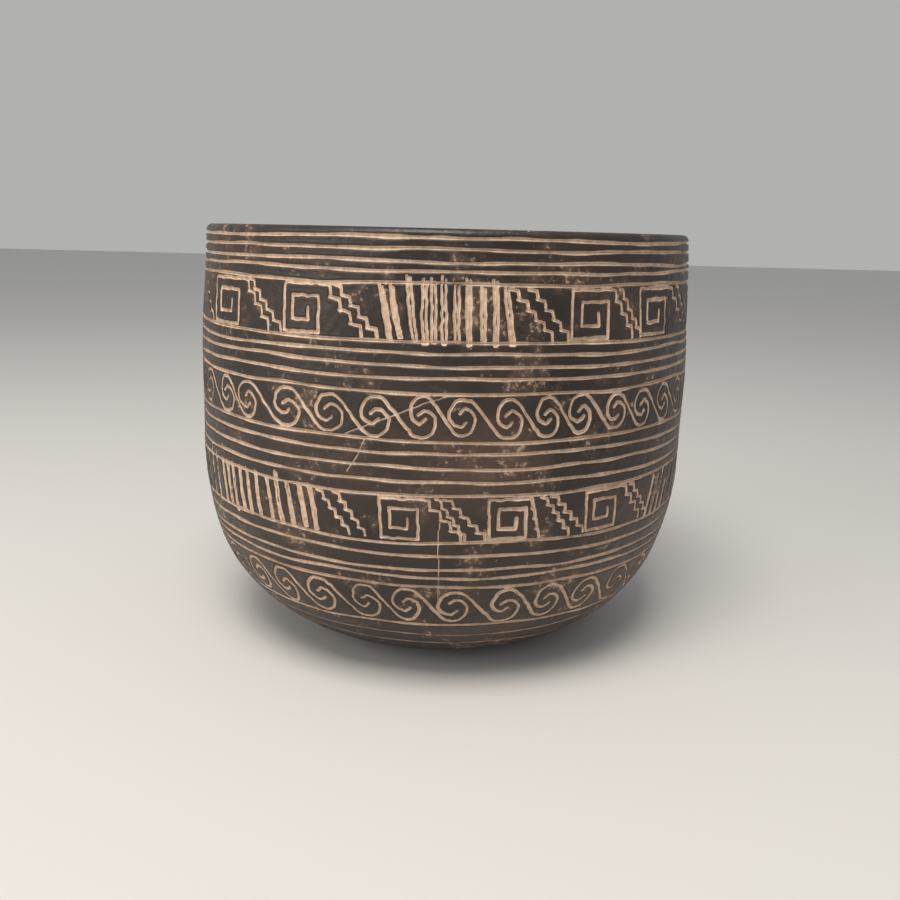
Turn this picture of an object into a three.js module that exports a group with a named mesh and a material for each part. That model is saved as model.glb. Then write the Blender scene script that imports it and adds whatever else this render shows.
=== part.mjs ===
// Carved ceramic vessel: a deep bowl raised from a floor disc in nine wall courses, and closed by a rim coil.
// Millimetres, +Z up, origin at the centre of the flat underside.
import * as THREE from "three";

// Overall form
const height = 180;
const bellyRadius = 110;
const bellyHeight = 100;
const rimRadius = 106.3;
const baseRadius = 42.5;
const wall = 7;
const floorThickness = 9;
const floorMargin = 4;
const lipRadius = 2.6;

// Curve of the lower wall: larger numbers make it squarer
const sideFullness = 3.1;
const baseFullness = 1.82;

// Clay joints between courses: the upper course laps down outside the lower one
const jointClearance = 0.3;
const jointRise = 3;
const floorSeamHeight = 2.5;
const floorJointRise = 7.8;

// Heights of the lower register borders, where one course ends and the next begins
const turnBandTop = 29.8;
const lowerScrollTop = 49.1;
const lowerLinesTop = 67.7;
const lowerFretTop = 85.9;

// Depths of the upper borders below the rim
const middleLinesDepth = 73.9;
const upperScrollDepth = 56.4;
const upperLinesDepth = 39;
const upperFretDepth = 18.7;
const rimCoilDepth = 7;

// Resolution of the turned shapes
const segments = 48;
const curveStep = 7;
const lipSteps = 3;

const bodyFinish = { color: 0x3a2f27, roughness: 0.62, metalness: 0 };

// Radius of a superellipse side at a height between its foot and the belly
function curvedSide(z, footHeight, footRadius, sideRadius) {
  const drop = Math.min(1, Math.max(0, (bellyHeight - z) / (bellyHeight - footHeight)));
  const reach = Math.pow(1 - Math.pow(drop, sideFullness), 1 / baseFullness);
  return footRadius + (sideRadius - footRadius) * reach;
}

// Upper wall: draws in gently from the belly to the rim
function upperSide(z) {
  const rise = (z - bellyHeight) / (height - bellyHeight);
  return bellyRadius - (bellyRadius - rimRadius) * rise * rise;
}

function outerRadius(z) {
  if (z >= bellyHeight) return upperSide(z);
  return curvedSide(z, 0, baseRadius, bellyRadius);
}

function innerRadius(z) {
  if (z >= bellyHeight) return upperSide(z) - wall;
  return curvedSide(z, floorThickness, baseRadius - floorMargin, bellyRadius - wall);
}

// Heights that follow a curved stretch closely enough
function heightsBetween(low, high) {
  const steps = Math.max(1, Math.ceil((Math.min(high, bellyHeight) - low) / curveStep));
  const list = [];
  for (let i = 0; i <= steps; i += 1) list.push(low + ((high - low) * i) / steps);
  return list;
}

// The joint's line across the wall, moved up the wall's two faces by a shift
function jointLine(seam, shift) {
  const outer = seam.height + shift;
  const inner = seam.height + seam.rise + shift;
  return [new THREE.Vector2(outerRadius(outer), outer), new THREE.Vector2(innerRadius(inner), inner)];
}

function distanceToLine(point, [start, end]) {
  const along = end.clone().sub(start);
  return Math.abs(along.cross(point.clone().sub(start))) / along.length();
}

// A bevelled joint face: side -1 belongs to the course below, +1 to the course above
function jointFace(seam, side) {
  const trial = jointClearance / 2;
  const below = jointLine(seam, -trial);
  const trialGap = Math.min(...jointLine(seam, trial).map((point) => distanceToLine(point, below)));
  const shift = (side * trial * jointClearance) / trialGap;
  return { outer: seam.height + shift, inner: seam.height + seam.rise + shift };
}

function outerPoints(low, high) {
  return heightsBetween(low, high).map((z) => new THREE.Vector2(outerRadius(z), z));
}

function innerPoints(low, high) {
  return heightsBetween(low, high).map((z) => new THREE.Vector2(innerRadius(z), z)).reverse();
}

// The rounded lip, from the outer side over the top to the inner side
function lipPoints() {
  const points = [];
  const centreHeight = height - lipRadius;
  const outerCentre = outerRadius(centreHeight) - lipRadius;
  const innerCentre = innerRadius(centreHeight) + lipRadius;
  for (const [centre, start] of [[outerCentre, 0], [innerCentre, Math.PI / 2]]) {
    for (let i = 0; i <= lipSteps; i += 1) {
      const angle = start + (Math.PI / 2) * (i / lipSteps);
      const r = centre + lipRadius * Math.cos(angle);
      points.push(new THREE.Vector2(r, centreHeight + lipRadius * Math.sin(angle)));
    }
  }
  return points;
}

// Turns a profile about +Z; a loop closes on itself, any other profile starts and ends on the axis
function turned(points) {
  const geometry = new THREE.LatheGeometry(points, segments);
  geometry.rotateX(Math.PI / 2);
  return geometry;
}

function closedLoop(points) {
  return [...points, points[0].clone()];
}

function floorDisc(seamAbove) {
  const top = jointFace(seamAbove, -1);
  const inside = innerPoints(floorThickness, top.inner);
  const profile = [new THREE.Vector2(0, 0), ...outerPoints(0, top.outer), ...inside];
  profile.push(new THREE.Vector2(0, floorThickness));
  return turned(profile);
}

function wallCourse(seamBelow, seamAbove) {
  const bottom = jointFace(seamBelow, 1);
  const top = jointFace(seamAbove, -1);
  const outside = outerPoints(bottom.outer, top.outer);
  const inside = innerPoints(bottom.inner, top.inner);
  return turned(closedLoop([...outside, ...inside]));
}

function rimCoil(seamBelow) {
  const bottom = jointFace(seamBelow, 1);
  const outside = new THREE.Vector2(outerRadius(bottom.outer), bottom.outer);
  const inside = new THREE.Vector2(innerRadius(bottom.inner), bottom.inner);
  return turned(closedLoop([outside, ...lipPoints(), inside]));
}

const seams = [
  { height: floorSeamHeight, rise: floorJointRise },
  ...[
    turnBandTop, lowerScrollTop, lowerLinesTop, lowerFretTop,
    height - middleLinesDepth, height - upperScrollDepth, height - upperLinesDepth,
    height - upperFretDepth, height - rimCoilDepth,
  ].map((seamHeight) => ({ height: seamHeight, rise: jointRise })),
];

const courseNames = [
  "base_turn_course", "lower_scroll_course", "lower_line_course", "lower_fret_course",
  "middle_line_course", "upper_scroll_course", "upper_line_course", "upper_fret_course",
  "neck_line_course",
];

const vessel = new THREE.Group();

function addPiece(name, geometry) {
  const mesh = new THREE.Mesh(geometry, new THREE.MeshStandardMaterial(bodyFinish));
  mesh.name = name;
  vessel.add(mesh);
}

addPiece("floor_disc", floorDisc(seams[0]));
courseNames.forEach((name, i) => addPiece(name, wallCourse(seams[i], seams[i + 1])));
addPiece("rim_coil", rimCoil(seams[seams.length - 1]));

export default vessel;
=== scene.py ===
"""Dark burnished bowl with incised rings, stepped frets and running scrolls, in metres."""
import math

import bpy
import numpy as np
from mathutils import Euler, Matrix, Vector


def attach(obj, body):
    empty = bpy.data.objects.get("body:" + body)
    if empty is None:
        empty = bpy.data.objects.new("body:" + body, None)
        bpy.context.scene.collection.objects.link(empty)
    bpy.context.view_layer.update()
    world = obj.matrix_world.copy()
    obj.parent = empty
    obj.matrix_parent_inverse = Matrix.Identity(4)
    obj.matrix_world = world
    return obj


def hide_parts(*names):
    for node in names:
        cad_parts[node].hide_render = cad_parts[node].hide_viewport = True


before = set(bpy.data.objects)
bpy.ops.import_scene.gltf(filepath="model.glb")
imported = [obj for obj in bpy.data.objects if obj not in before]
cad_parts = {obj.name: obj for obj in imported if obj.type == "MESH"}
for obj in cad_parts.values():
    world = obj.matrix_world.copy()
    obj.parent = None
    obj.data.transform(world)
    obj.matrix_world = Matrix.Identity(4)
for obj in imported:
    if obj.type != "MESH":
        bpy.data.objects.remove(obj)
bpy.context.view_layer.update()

MM = 0.001

# Form of the vessel, in millimetres
HEIGHT = 180.0
BELLY_RADIUS = 110.0
BELLY_HEIGHT = 100.0
RIM_RADIUS = 106.3
BASE_RADIUS = 42.5
WALL = 7.0
FLOOR = 9.0
FLOOR_MARGIN = 4.0
LIP_RADIUS = 2.6
SIDE_FULLNESS = 3.1
BASE_FULLNESS = 1.82
JOINT_RISE = 3.0
FLOOR_SEAM = 2.5
FLOOR_JOINT_RISE = 7.8

# Courses from the base up, with the height of the seam over each
COURSES = [
    ("floor_disc", FLOOR_SEAM),
    ("base_turn_course", 29.8),
    ("lower_scroll_course", 49.1),
    ("lower_line_course", 67.7),
    ("lower_fret_course", 85.9),
    ("middle_line_course", 106.1),
    ("upper_scroll_course", 123.6),
    ("upper_line_course", 141.0),
    ("upper_fret_course", 161.3),
    ("neck_line_course", 173.0),
    ("rim_coil", HEIGHT),
]

# Incised ring lines, heights in millimetres
RING_LINES = [
    176.7, 173.0, 168.7, 165.3, 161.3, 141.0, 137.1, 132.9, 128.5, 123.6, 106.1, 101.5,
    96.3, 90.8, 85.9, 67.7, 62.6, 56.7, 53.2, 49.1, 29.8,
]
FAINT_LINES = [23.5, 17.5]

# Bands that hold the motifs: lower and upper border
UPPER_FRETS = (141.0, 161.3)
UPPER_SCROLLS = (106.1, 123.6)
LOWER_FRETS = (67.7, 85.9)
LOWER_SCROLLS = (29.8, 49.1)

# Cut of the tool
GROOVE_WIDTH = 1.35
GROOVE_DEPTH = 0.95
BURR_HEIGHT = 0.09
FAINT_CUT = 0.35
CRACK_CUT = 0.45
TREMBLE = 0.13
MM_PER_DEGREE = 1.9
STROKE_REACH = 2.2

# Unevenness of the hand-built wall, and how far it is set in to stay inside the model's box
SURFACE_WOBBLE = 0.28
FINE_RELIEF = 0.05
SURFACE_INSET = 0.45
SETTLE_HEIGHT = 12.0

# A distance that no cut reaches
FAR = 99.0

# How strongly pale clay colour is painted on the lip as a patchy painted highlight, on the scale of the cut
# mask
LIP_PAINTED_HIGHLIGHT = 0.17

# A bar is two cuts side by side, this many degrees apart
BAR_WIDTH = 0.7

# Hairline cracks, as (degrees, millimetres) points
CRACKS = [
    [(0.0, 76.0), (-0.3, 66.0), (0.1, 55.0), (0.0, 47.0), (0.3, 38.0)],
    [(1.2, 123.0), (-5.8, 118.0), (-10.4, 114.0), (-15.4, 110.0), (-18.7, 107.0)],
    [(-14.8, 105.5), (-16.6, 98.0), (-18.5, 93.0)],
]
CRACK_HALF_WIDTH = 0.5

# Square spirals with the steps that their top edge runs into: left, right, step top, step bottom (degrees)
UPPER_SPIRALS = [(-57.5, -46.4, -45.8, -37.3), (-32.8, -24.3, -24.4, -16.0), (24.9, 34.1, 33.9, 40.3)]
RIGHT_SPIRAL = (43.3, 53.6, 54.0, 63.5)
LOWER_SPIRALS = [(-11.8, -4.0, -4.1, 3.9), (9.3, 17.2, 17.4, 19.6), (30.4, 39.0, 39.7, 47.2)]
LOWER_LEAN = 0.05

# Lone step lines, top and bottom (degrees)
UPPER_STEPS = [
    (-68.3, -59.4), (-43.9, -33.9), (-21.6, -12.9), (11.9, 20.5), (15.6, 24.0), (36.4, 43.0), (58.5, 67.5),
]
LOWER_STEPS = [
    (-25.0, -18.3), (-21.4, -14.9), (0.6, 8.7), (-1.0, 4.8), (19.9, 26.4), (22.0, 29.9), (42.6, 50.2),
]
LONE_STEPS = 5

# Bars: top and bottom, or the middle where they stand in a slanted row (degrees)
UPPER_BARS = [
    (-12.4, -10.4), (-10.3, -8.5), (-7.3, -5.8), (-4.2, -3.9), (-2.7, -2.4), (-0.7, -0.4),
    (1.7, 2.0), (3.9, 4.2), (6.7, 6.9), (8.9, 9.2), (11.0, 12.4),
]
LOWER_LEFT_BARS = [
    -62.4, -59.1, -55.2, -52.5, -50.1, -47.0, -44.3, -41.2, -37.7, -35.0, -32.0, -28.9, -26.3,
]
LOWER_RIGHT_BARS = [50.9, 53.3, 56.1, 59.3, 63.5, 67.5]

# Scroll centres (degrees)
UPPER_CENTRES = [
    -62.6, -51.8, -43.3, -32.3, -22.2, -12.8, -3.8, 3.8, 12.6, 20.4, 27.7, 36.6, 44.9, 53.8, 63.3,
]
LOWER_CENTRES = [-47.6, -37.4, -26.9, -16.1, -6.8, 3.4, 14.8, 24.9, 35.1, 46.0]

# A scroll's stroke: turn (degrees) and share of its size, out of one eye and then into the next
OUT_OF_EYE = [(-40, .25), (-110, .5), (180, .8), (120, 1.0), (70, 1.02), (25, .95)]
INTO_EYE = [(205, .95), (250, 1.02), (300, 1.0), (0, .8), (70, .5), (140, .25)]
SCROLL_WIDTH = 0.42
SCROLL_RISE = 0.43

# A square spiral's corners, as shares of its width and of the band's height
SPIRAL_CORNERS = [
    (1, .93), (0, .93), (0, .08), (.94, .08), (.94, .72), (.24, .72), (.24, .3), (.68, .3), (.68, .52),
]

# The unseen side: where each band is carried on from and to (degrees)
UPPER_BACK = (70, 289)
LOWER_BACK = (72, 295)

# Mesh resolution
AROUND = 1440
ROW_STEP = 0.46
INSIDE_STEP = 6.0


def outer_radius(z):
    z = np.asarray(z, float)
    rise = (z - BELLY_HEIGHT) / (HEIGHT - BELLY_HEIGHT)
    upper = BELLY_RADIUS - (BELLY_RADIUS - RIM_RADIUS) * rise ** 2
    return np.where(z >= BELLY_HEIGHT, upper, curved_side(z, 0.0, BASE_RADIUS, BELLY_RADIUS))


def inner_radius(z):
    z = np.asarray(z, float)
    rise = (z - BELLY_HEIGHT) / (HEIGHT - BELLY_HEIGHT)
    upper = BELLY_RADIUS - (BELLY_RADIUS - RIM_RADIUS) * rise ** 2 - WALL
    lower = curved_side(z, FLOOR, BASE_RADIUS - FLOOR_MARGIN, BELLY_RADIUS - WALL)
    return np.where(z >= BELLY_HEIGHT, upper, lower)


def curved_side(z, foot_height, foot_radius, side_radius):
    drop = np.clip((BELLY_HEIGHT - z) / (BELLY_HEIGHT - foot_height), 0.0, 1.0)
    return foot_radius + (side_radius - foot_radius) * (1 - drop ** SIDE_FULLNESS) ** (1 / BASE_FULLNESS)


def smooth_noise(angle, z, seed, scale):
    """A sum of seeded waves, periodic round the vessel, from about -1 to 1. Scale is in millimetres."""
    rng = np.random.default_rng(seed)
    total = np.zeros(np.broadcast(angle, z).shape)
    turns = max(1, int(round(2 * math.pi * BELLY_RADIUS / scale)))
    waves = 7
    for _ in range(waves):
        around = rng.integers(-turns, turns + 1)
        up = rng.uniform(-1, 1) / scale * 2 * math.pi
        total += np.sin(around * angle + up * z + rng.uniform(0, 2 * math.pi))
    return total / math.sqrt(waves)


# Strokes: each is a list of (degrees, millimetres) points
def on_band(band, share):
    return band[0] + (band[1] - band[0]) * share


def square_spiral(band, left, right, lean=0.0):
    """A square spiral, from its top right corner round to a hook in its middle."""
    width = right - left
    return [(left + width * (u + lean * (1 - v)), on_band(band, v)) for u, v in SPIRAL_CORNERS]


def step_line(band, top, bottom, steps=4, high=0.94, low=0.06):
    """A staircase that runs down to the right."""
    points = []
    for i in range(steps):
        along = top + (bottom - top) * i / steps
        following = top + (bottom - top) * (i + 1) / steps
        share = high + (low - high) * i / steps
        below = high + (low - high) * (i + 1) / steps
        points += [(along, on_band(band, share)), (following, on_band(band, share - 0.03))]
        points.append((following + 0.25, on_band(band, below)))
    return points


def bar(band, top, bottom, rng):
    high = 1.0 + rng.uniform(-0.06, 0.14)
    low = rng.uniform(-0.04, 0.08)
    middle = (top + bottom) / 2 + rng.uniform(-0.25, 0.25)
    width = BAR_WIDTH * rng.uniform(0.8, 1.2)
    down = [(top, high), (middle, 0.5), (bottom, low)]
    up = [(bottom + width, low), (middle + width, 0.5), (top + width, high - 0.04)]
    return [(angle, on_band(band, share)) for angle, share in down + up]


def scroll(band, centre, following, rng):
    """An S stroke from the eye of one scroll, over its top and under the next into that one's eye."""
    size = (following - centre) * SCROLL_WIDTH
    middle = 0.5 + rng.uniform(-0.04, 0.04)
    points = []
    for eye, turns in [(centre, OUT_OF_EYE), (following, INTO_EYE)]:
        for angle, reach in turns:
            turn = math.radians(angle)
            height = on_band(band, middle + SCROLL_RISE * reach * math.sin(turn))
            points.append((eye + size * reach * math.cos(turn), height))
    return rounded(points)


def rounded(points, passes=2):
    """Cuts the corners of a stroke, so that it reads as one drawn by a turning hand."""
    for _ in range(passes):
        cut = [points[0]]
        for (u0, v0), (u1, v1) in zip(points, points[1:]):
            cut.append((u0 * 0.75 + u1 * 0.25, v0 * 0.75 + v1 * 0.25))
            cut.append((u0 * 0.25 + u1 * 0.75, v0 * 0.25 + v1 * 0.75))
        points = cut + [points[-1]]
    return points


def fret_panel(band, start, rng):
    """A spiral whose top runs on into steps, and a second line of steps. Used where the back isn't seen."""
    width = 8.5 + rng.uniform(-0.6, 0.6)
    spiral = square_spiral(band, start, start + width, 0.03)
    steps = step_line(band, start + width, start + width + 8.5)
    return [steps[::-1] + spiral, step_line(band, start + width + 3.2, start + width + 11.2)]


def spiral_with_steps(band, spiral, lean=0.0):
    """One stroke up a line of steps and on round the square spiral."""
    left, right, top, bottom = spiral
    return step_line(band, top, bottom)[::-1] + square_spiral(band, left, right, lean)


def upper_fret_strokes(rng):
    band = UPPER_FRETS
    strokes = [spiral_with_steps(band, spiral) for spiral in UPPER_SPIRALS + [RIGHT_SPIRAL]]
    strokes += [step_line(band, top, bottom, LONE_STEPS) for top, bottom in UPPER_STEPS]
    strokes += [bar(band, top, bottom, rng) for top, bottom in UPPER_BARS]
    return strokes


def lower_fret_strokes(rng):
    band = LOWER_FRETS
    strokes = [spiral_with_steps(band, spiral, LOWER_LEAN) for spiral in LOWER_SPIRALS]
    strokes += [step_line(band, top, bottom, LONE_STEPS) for top, bottom in LOWER_STEPS]
    strokes += [bar(band, middle - 0.7, middle + 0.5, rng) for middle in LOWER_LEFT_BARS]
    strokes += [bar(band, middle + 0.9, middle - 0.9, rng) for middle in LOWER_RIGHT_BARS]
    return strokes


def back_strokes(band, start, end, rng):
    """The same run of panels and bars carried round the side that the photograph doesn't show."""
    strokes = []
    angle = start
    while angle + 20 < end:
        strokes += fret_panel(band, angle, rng)
        angle += 22.5
        if rng.uniform() < 0.45 and angle + 26 < end:
            strokes += [bar(band, angle + i * 2.5, angle + i * 2.5 + 0.5, rng) for i in range(6)]
            angle += 16
    while angle < end:
        strokes.append(bar(band, angle, angle + 0.4, rng))
        angle += 2.6
    return strokes


def scroll_chain(band, centres, rng):
    """Scrolls at the centres that the photograph shows, then evenly round the back."""
    spacing = (centres[-1] - centres[0]) / (len(centres) - 1)
    rest = 360 - (centres[-1] - centres[0])
    count = max(1, int(round(rest / spacing)))
    chain = list(centres) + [centres[-1] + rest * (i + 1) / count for i in range(count)]
    return [scroll(band, here, there, rng) for here, there in zip(chain, chain[1:])]


def all_strokes():
    rng = np.random.default_rng(11)
    strokes = upper_fret_strokes(rng) + back_strokes(UPPER_FRETS, *UPPER_BACK, rng)
    strokes += lower_fret_strokes(rng) + back_strokes(LOWER_FRETS, *LOWER_BACK, rng)
    strokes += scroll_chain(UPPER_SCROLLS, UPPER_CENTRES, rng)
    strokes += scroll_chain(LOWER_SCROLLS, LOWER_CENTRES, rng)
    return strokes


def shaken(stroke, rng):
    """Splits a stroke finely and lets the hand tremble."""
    fine = []
    for (u0, v0), (u1, v1) in zip(stroke, stroke[1:]):
        length = math.hypot((u1 - u0) * MM_PER_DEGREE, v1 - v0)
        pieces = max(1, int(length / 2.0))
        for i in range(pieces):
            fine.append((u0 + (u1 - u0) * i / pieces, v0 + (v1 - v0) * i / pieces))
    fine.append(stroke[-1])
    shake = rng.normal(0, TREMBLE, (len(fine), 2))
    return [(u + du / MM_PER_DEGREE, v + dv) for (u, v), (du, dv) in zip(fine, shake)]


def groove_profile(distance, half_width):
    """1 on the line of the cut, falling to 0 at its edge with a slightly raised burr outside."""
    inside = np.clip(1 - distance / half_width, 0, 1)
    cut = inside * inside * (3 - 2 * inside)
    burr = np.exp(-((distance - half_width * 1.35) / (half_width * 0.3)) ** 2)
    return cut, burr


def height_field(angles, heights):
    """Cut depth and colour mask over a grid of angles (radians) and heights (millimetres)."""
    grid_angle, grid_height = np.meshgrid(angles, heights)
    width = 1 + 0.22 * smooth_noise(grid_angle, grid_height, 3, 14)
    half = GROOVE_WIDTH * 0.5 * 1.25 * width
    distance = np.full(grid_angle.shape, FAR)
    for index, line in enumerate(RING_LINES):
        wave = 0.45 * smooth_noise(grid_angle, 0.0, 100 + index, 90)
        wave += 0.2 * smooth_noise(grid_angle, 0.0, 200 + index, 25)
        distance = np.minimum(distance, np.abs(grid_height - line - wave * 0.8))
    rng = np.random.default_rng(5)
    for stroke in all_strokes():
        points = shaken(stroke, rng)
        lay_stroke(distance, angles, heights, points)
    cut, burr = groove_profile(distance, half)
    for index, line in enumerate(FAINT_LINES):
        wave = 0.6 * smooth_noise(grid_angle, 0.0, 300 + index, 80)
        faint, _ = groove_profile(np.abs(grid_height - line - wave), half)
        cut = np.maximum(cut, FAINT_CUT * faint)
    crack_distance = np.full(grid_angle.shape, FAR)
    for crack in CRACKS:
        lay_stroke(crack_distance, angles, heights, shaken(crack, rng))
    crack_cut, _ = groove_profile(crack_distance, CRACK_HALF_WIDTH)
    cut = np.maximum(cut, CRACK_CUT * crack_cut)
    return cut, burr


def lay_stroke(distance, angles, heights, points):
    """Lowers the distance field along one stroke, only over the cells near it."""
    count = len(angles)
    step = 2 * math.pi / count
    for (u0, v0), (u1, v1) in zip(points, points[1:]):
        low = min(v0, v1) - STROKE_REACH
        high = max(v0, v1) + STROKE_REACH
        rows = np.nonzero((heights >= low) & (heights <= high))[0]
        if not len(rows):
            continue
        scale = float(outer_radius((v0 + v1) / 2))
        a0, a1 = math.radians(u0), math.radians(u1)
        first = int((min(a0, a1) - STROKE_REACH / scale) / step) - 1
        last = int((max(a0, a1) + STROKE_REACH / scale) / step) + 2
        columns = np.arange(first, last)
        x = (columns * step)[None, :] * scale
        y = heights[rows][:, None]
        dx, dy = (a1 - a0) * scale, v1 - v0
        along = np.clip(((x - a0 * scale) * dx + (y - v0) * dy) / max(dx * dx + dy * dy, 1e-9), 0, 1)
        near = np.hypot(x - a0 * scale - along * dx, y - v0 - along * dy)
        spot = np.ix_(rows, columns % count)
        distance[spot] = np.minimum(distance[spot], near)


def joint_heights(index):
    """Outer and inner height of the seam over a course."""
    seam = COURSES[index][1]
    return seam, seam + (FLOOR_JOINT_RISE if index == 0 else JOINT_RISE)


def profile_rows(index):
    """The closed outline of a course: outer heights, then the inside from top to bottom as (radius, height)."""
    top_outer, top_inner = joint_heights(index)
    bottom_outer, bottom_inner = (0.0, FLOOR) if index == 0 else joint_heights(index - 1)
    is_rim = index == len(COURSES) - 1
    if is_rim:
        top_outer = HEIGHT - LIP_RADIUS
        top_inner = HEIGHT - LIP_RADIUS
    count = max(6, int(math.ceil((top_outer - bottom_outer) / ROW_STEP)))
    outer = np.linspace(bottom_outer, top_outer, count + 1)
    inside = []
    if is_rim:
        inside += lip_profile()
    steps = max(2, int(math.ceil((top_inner - bottom_inner) / INSIDE_STEP)))
    for z in np.linspace(top_inner, bottom_inner, steps * 2 + 1):
        inside.append((float(inner_radius(z)), float(z)))
    return outer, inside


def lip_profile():
    """The rounded lip from outside to inside."""
    centre = HEIGHT - LIP_RADIUS
    outer_centre = float(outer_radius(centre)) - LIP_RADIUS
    inner_centre = float(inner_radius(centre)) + LIP_RADIUS
    points = []
    for middle, start in [(outer_centre, 0.0), (inner_centre, math.pi / 2)]:
        for i in range(1, 8):
            turn = start + math.pi / 2 * i / 8
            points.append((middle + LIP_RADIUS * math.cos(turn), centre + LIP_RADIUS * math.sin(turn)))
    return points


def grid_faces(rows, columns, first_row=0):
    row = np.arange(rows - 1)[:, None]
    column = np.arange(columns)[None, :]
    following = (column + 1) % columns
    a = (first_row + row) * columns + column
    b = (first_row + row) * columns + following
    return np.stack([a, b, b + columns, a + columns], -1).reshape(-1, 4)


def make_mesh(name, vertices, faces, masks, flat_faces):
    mesh = bpy.data.meshes.new(name)
    mesh.vertices.add(len(vertices))
    mesh.vertices.foreach_set("co", (vertices * MM).astype(np.float32).ravel())
    mesh.loops.add(faces.size)
    mesh.loops.foreach_set("vertex_index", faces.astype(np.int32).ravel())
    mesh.polygons.add(len(faces))
    mesh.polygons.foreach_set("loop_start", np.arange(0, faces.size, 4, dtype=np.int32))
    smooth = np.ones(len(faces), dtype=bool)
    smooth[flat_faces] = False
    mesh.polygons.foreach_set("use_smooth", smooth)
    mesh.update(calc_edges=True)
    mesh.validate()
    for key, values in masks.items():
        attribute = mesh.attributes.new(key, "FLOAT", "POINT")
        attribute.data.foreach_set("value", values.astype(np.float32))
    piece = bpy.data.objects.new(name, mesh)
    bpy.context.collection.objects.link(piece)
    return piece


def build_course(index, angles):
    """A closed ring (or the floor disc) with its cut outer face."""
    node = COURSES[index][0]
    outer, inside = profile_rows(index)
    cut, burr = height_field(angles, outer)
    grid_angle, grid_height = np.meshgrid(angles, outer)
    settle = np.clip(grid_height / SETTLE_HEIGHT, 0, 1)
    wobble = SURFACE_WOBBLE * smooth_noise(grid_angle, grid_height, 21, 45) * settle
    fine = FINE_RELIEF * smooth_noise(grid_angle, grid_height, 22, 5) * settle
    radius = outer_radius(grid_height) - SURFACE_INSET + wobble + fine
    radius += BURR_HEIGHT * burr - GROOVE_DEPTH * cut
    rows = [np.stack([radius * np.sin(grid_angle), -radius * np.cos(grid_angle), grid_height], -1)]
    masks = [cut]
    is_rim = index == len(COURSES) - 1
    for r, z in inside:
        mid = np.full((1, len(angles)), float(z))
        settle = min(1.0, z / SETTLE_HEIGHT)
        ring = r - SURFACE_INSET + SURFACE_WOBBLE * smooth_noise(angles[None, :], mid, 21, 45) * settle
        rows.append(np.stack([ring * np.sin(angles[None, :]), -ring * np.cos(angles[None, :]), mid], -1))
        # The lip's top rows get a mask value that paints a patchy pale highlight along the rim
        lip_highlight = LIP_PAINTED_HIGHLIGHT if is_rim and z > HEIGHT - LIP_RADIUS else 0.0
        masks.append(np.full((1, len(angles)), lip_highlight))
    grid = np.concatenate(rows, 0)
    vertices = grid.reshape(-1, 3)
    mask = np.concatenate(masks, 0).reshape(-1)
    count = len(angles)
    faces = grid_faces(len(grid), count)
    joint = np.arange((len(outer) - 1) * count, len(outer) * count)
    flat_faces = joint[:0] if is_rim else joint
    if index == 0:
        faces, vertices, mask = close_disc(faces, vertices, mask, count)
    else:
        last = (len(grid) - 1) * count
        here = np.arange(count)
        following = (here + 1) % count
        flat_faces = np.concatenate([flat_faces, len(faces) + here])
        faces = np.concatenate([faces, np.stack([last + here, last + following, following, here], -1)])
    piece = make_mesh(node + "_carved", vertices, faces, {"groove_and_lip_highlight": mask}, flat_faces)
    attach(piece, "root")
    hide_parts(node)
    return piece


def close_disc(faces, vertices, mask, count):
    """Fills the underside and the floor with rings that shrink to a small central quad fan."""
    rings = [1.0, 0.75, 0.5, 0.25, 0.08]
    total = len(vertices)
    for start, flip in [(0, True), (total - count, False)]:
        edge = vertices[start:start + count]
        previous = start
        for share in rings[1:]:
            ring = edge * np.array([share, share, 1.0])
            first = len(vertices)
            vertices = np.concatenate([vertices, ring])
            mask = np.concatenate([mask, np.zeros(count)])
            here = np.arange(count)
            following = (here + 1) % count
            loop = [previous + here, previous + following, first + following, first + here]
            faces = np.concatenate([faces, np.stack(loop[::-1] if flip else loop, -1)])
            previous = first
        half = count // 2
        here = np.arange(half - 1)
        left = previous + here
        right = previous + count - 1 - here
        loop = [left, left + 1, right - 1, right]
        faces = np.concatenate([faces, np.stack(loop[::-1] if flip else loop, -1)])
    return faces, vertices, mask


class Nodes:
    """Short calls for a material's node tree."""

    def __init__(self, name):
        self.material = bpy.data.materials.new(name)
        self.material.use_nodes = True
        self.tree = self.material.node_tree
        self.shader = self.tree.nodes["Principled BSDF"]

    def add(self, kind, **values):
        node = self.tree.nodes.new(kind)
        for key, value in values.items():
            setattr(node, key, value)
        return node

    def link(self, source, target):
        self.tree.links.new(source, target)

    def noise(self, vector, scale, detail=4.0, roughness=0.6):
        node = self.add("ShaderNodeTexNoise")
        node.inputs["Scale"].default_value = scale
        node.inputs["Detail"].default_value = detail
        node.inputs["Roughness"].default_value = roughness
        self.link(vector, node.inputs["Vector"])
        return node.outputs["Fac"]

    def ramp(self, factor, stops):
        node = self.add("ShaderNodeValToRGB")
        node.color_ramp.elements[0].position = stops[0][0]
        node.color_ramp.elements[0].color = (*stops[0][1], 1)
        node.color_ramp.elements[1].position = stops[-1][0]
        node.color_ramp.elements[1].color = (*stops[-1][1], 1)
        for position, colour in stops[1:-1]:
            node.color_ramp.elements.new(position).color = (*colour, 1)
        self.link(factor, node.inputs["Fac"])
        return node.outputs["Color"]

    def band(self, factor, low, high):
        return self.ramp(factor, [(low, (0, 0, 0)), (high, (1, 1, 1))])

    def mix(self, factor, first, second):
        node = self.add("ShaderNodeMix", data_type="RGBA")
        self.link(factor, node.inputs["Factor"])
        for value, socket in [(first, node.inputs["A"]), (second, node.inputs["B"])]:
            if isinstance(value, tuple):
                socket.default_value = (*value, 1)
            else:
                self.link(value, socket)
        return node.outputs["Result"]

    def maths(self, operation, first, second):
        node = self.add("ShaderNodeMath", operation=operation)
        for value, socket in [(first, node.inputs[0]), (second, node.inputs[1])]:
            if isinstance(value, float):
                socket.default_value = value
            else:
                self.link(value, socket)
        return node.outputs[0]


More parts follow.
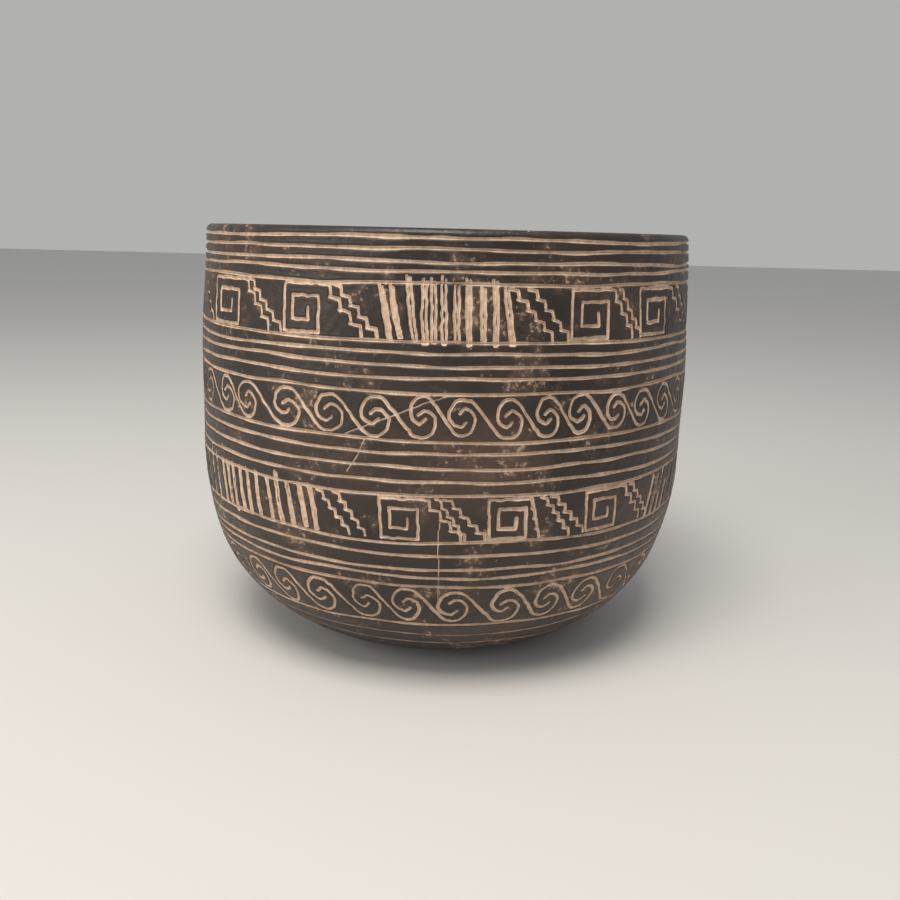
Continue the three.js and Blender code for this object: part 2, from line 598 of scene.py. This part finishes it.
# Colours of the fired surface, as linear red, green and blue
SLIP_COLOURS = [(0.34, (0.011, 0.0075, 0.0055)), (0.52, (0.026, 0.016, 0.011)), (0.7, (0.075, 0.042, 0.025))]
MOTTLE_COLOUR = (0.13, 0.078, 0.048)
FLECK_COLOUR = (0.34, 0.23, 0.16)
CLAY_COLOURS = [(0.3, (0.44, 0.30, 0.205)), (0.7, (0.74, 0.56, 0.42))]


def clay_material():
    """Dark burnished slip, worn brown in patches, with pale clay showing in the cuts and a patchy painted
    highlight of pale clay colour along the lip.
    """
    nodes = Nodes("burnished_clay")
    place = nodes.add("ShaderNodeTexCoord").outputs["Object"]
    groove_and_lip_highlight = nodes.add("ShaderNodeAttribute", attribute_name="groove_and_lip_highlight").outputs["Fac"]
    broad = nodes.noise(place, 16.0, 5.0, 0.62)
    medium = nodes.noise(place, 70.0, 6.0, 0.68)
    fine = nodes.noise(place, 420.0, 4.0, 0.7)
    slip = nodes.ramp(broad, SLIP_COLOURS)
    mottled = nodes.mix(nodes.band(medium, 0.52, 0.78), slip, MOTTLE_COLOUR)
    flecks = nodes.band(nodes.maths("MULTIPLY", medium, fine), 0.325, 0.40)
    lip_highlight = nodes.mix(flecks, mottled, FLECK_COLOUR)
    clay = nodes.ramp(fine, CLAY_COLOURS)
    packed = nodes.maths("MULTIPLY", medium, -0.3)
    # Pale clay colour in the cuts, and on the lip a painted highlight
    clay_and_lip_highlight = nodes.band(nodes.maths("ADD", groove_and_lip_highlight, packed), 0.06, 0.24)
    colour = nodes.mix(clay_and_lip_highlight, lip_highlight, clay)
    nodes.link(colour, nodes.shader.inputs["Base Color"])
    burnish = nodes.ramp(medium, [(0.3, (0.30, 0.30, 0.30)), (0.7, (0.55, 0.55, 0.55))])
    roughness = nodes.mix(clay_and_lip_highlight, burnish, (0.9, 0.9, 0.9))
    nodes.link(roughness, nodes.shader.inputs["Roughness"])
    bump = nodes.add("ShaderNodeBump")
    bump.inputs["Strength"].default_value = 0.5
    bump.inputs["Distance"].default_value = 0.0006
    nodes.link(nodes.maths("ADD", medium, fine), bump.inputs["Height"])
    nodes.link(bump.outputs["Normal"], nodes.shader.inputs["Normal"])
    return nodes.material


def stage_material():
    material = bpy.data.materials.new("stage_paper")
    material.use_nodes = True
    shader = material.node_tree.nodes["Principled BSDF"]
    shader.inputs["Base Color"].default_value = (0.62, 0.61, 0.59, 1)
    shader.inputs["Roughness"].default_value = 0.95
    return material


WORLD_LIGHT = 0.5


def build_stage():
    bpy.ops.mesh.primitive_plane_add(size=12, location=(0, 0, -0.0002))
    floor = bpy.context.object
    floor.name = "stage_floor"
    floor.data.materials.append(stage_material())
    world = bpy.data.worlds.new("studio")
    bpy.context.scene.world = world
    world.use_nodes = True
    tree = world.node_tree
    lighting = tree.nodes["Background"]
    lighting.inputs["Color"].default_value = (0.90, 0.91, 0.92, 1)
    lighting.inputs["Strength"].default_value = WORLD_LIGHT
    seen = tree.nodes.new("ShaderNodeBackground")
    seen.inputs["Color"].default_value = (0.44, 0.44, 0.43, 1)
    seen.inputs["Strength"].default_value = 1.0
    rays = tree.nodes.new("ShaderNodeLightPath")
    choice = tree.nodes.new("ShaderNodeMixShader")
    tree.links.new(rays.outputs["Is Camera Ray"], choice.inputs["Fac"])
    tree.links.new(lighting.outputs[0], choice.inputs[1])
    tree.links.new(seen.outputs[0], choice.inputs[2])
    tree.links.new(choice.outputs[0], tree.nodes["World Output"].inputs["Surface"])


LAMP_COLOUR = (1.0, 0.94, 0.87)


def add_softbox(name, place, target, size, power):
    light = bpy.data.lights.new(name, "AREA")
    light.size = size
    light.energy = power
    light.color = LAMP_COLOUR
    lamp = bpy.data.objects.new(name, light)
    bpy.context.collection.objects.link(lamp)
    lamp.location = place
    lamp.rotation_euler = (Vector(target) - Vector(place)).to_track_quat("-Z", "Y").to_euler()


def build_lights():
    middle = (0, 0, 0.09)
    add_softbox("top_softbox", (-0.15, -0.55, 1.15), middle, 0.6, 13)
    add_softbox("left_softbox", (-1.1, -0.7, 0.6), middle, 0.8, 6)


# Camera: the photograph's pitch, roll, field of view and distance, fitted to the vessel's ring lines
PHOTO_WIDTH = 900
FOCAL_PIXELS = 900.0
PITCH = math.radians(13.54)
ROLL = math.radians(1.44)
AXIS_DISTANCE = 0.4208
CAMERA_HEIGHT = 0.178293
SIDE_SHIFT_PIXELS = -8.4
SENSOR = 36.0


def build_camera():
    data = bpy.data.cameras.new("camera")
    data.sensor_width = SENSOR
    data.lens = FOCAL_PIXELS / PHOTO_WIDTH * SENSOR
    data.clip_start = 0.01
    data.shift_x = -SIDE_SHIFT_PIXELS / PHOTO_WIDTH
    data.dof.use_dof = False
    camera = bpy.data.objects.new("camera", data)
    bpy.context.collection.objects.link(camera)
    camera.location = (0, -AXIS_DISTANCE, CAMERA_HEIGHT)
    aim = Euler((math.pi / 2 - PITCH, 0, 0)).to_matrix() @ Euler((0, 0, ROLL)).to_matrix()
    camera.rotation_euler = aim.to_euler()
    bpy.context.scene.camera = camera


build_camera()
build_stage()
build_lights()
CLAY = clay_material()
ANGLES = np.arange(AROUND) * 2 * math.pi / AROUND
for course in range(len(COURSES)):
    build_course(course, ANGLES).data.materials.append(CLAY)

bpy.context.scene.view_settings.view_transform = "Standard"
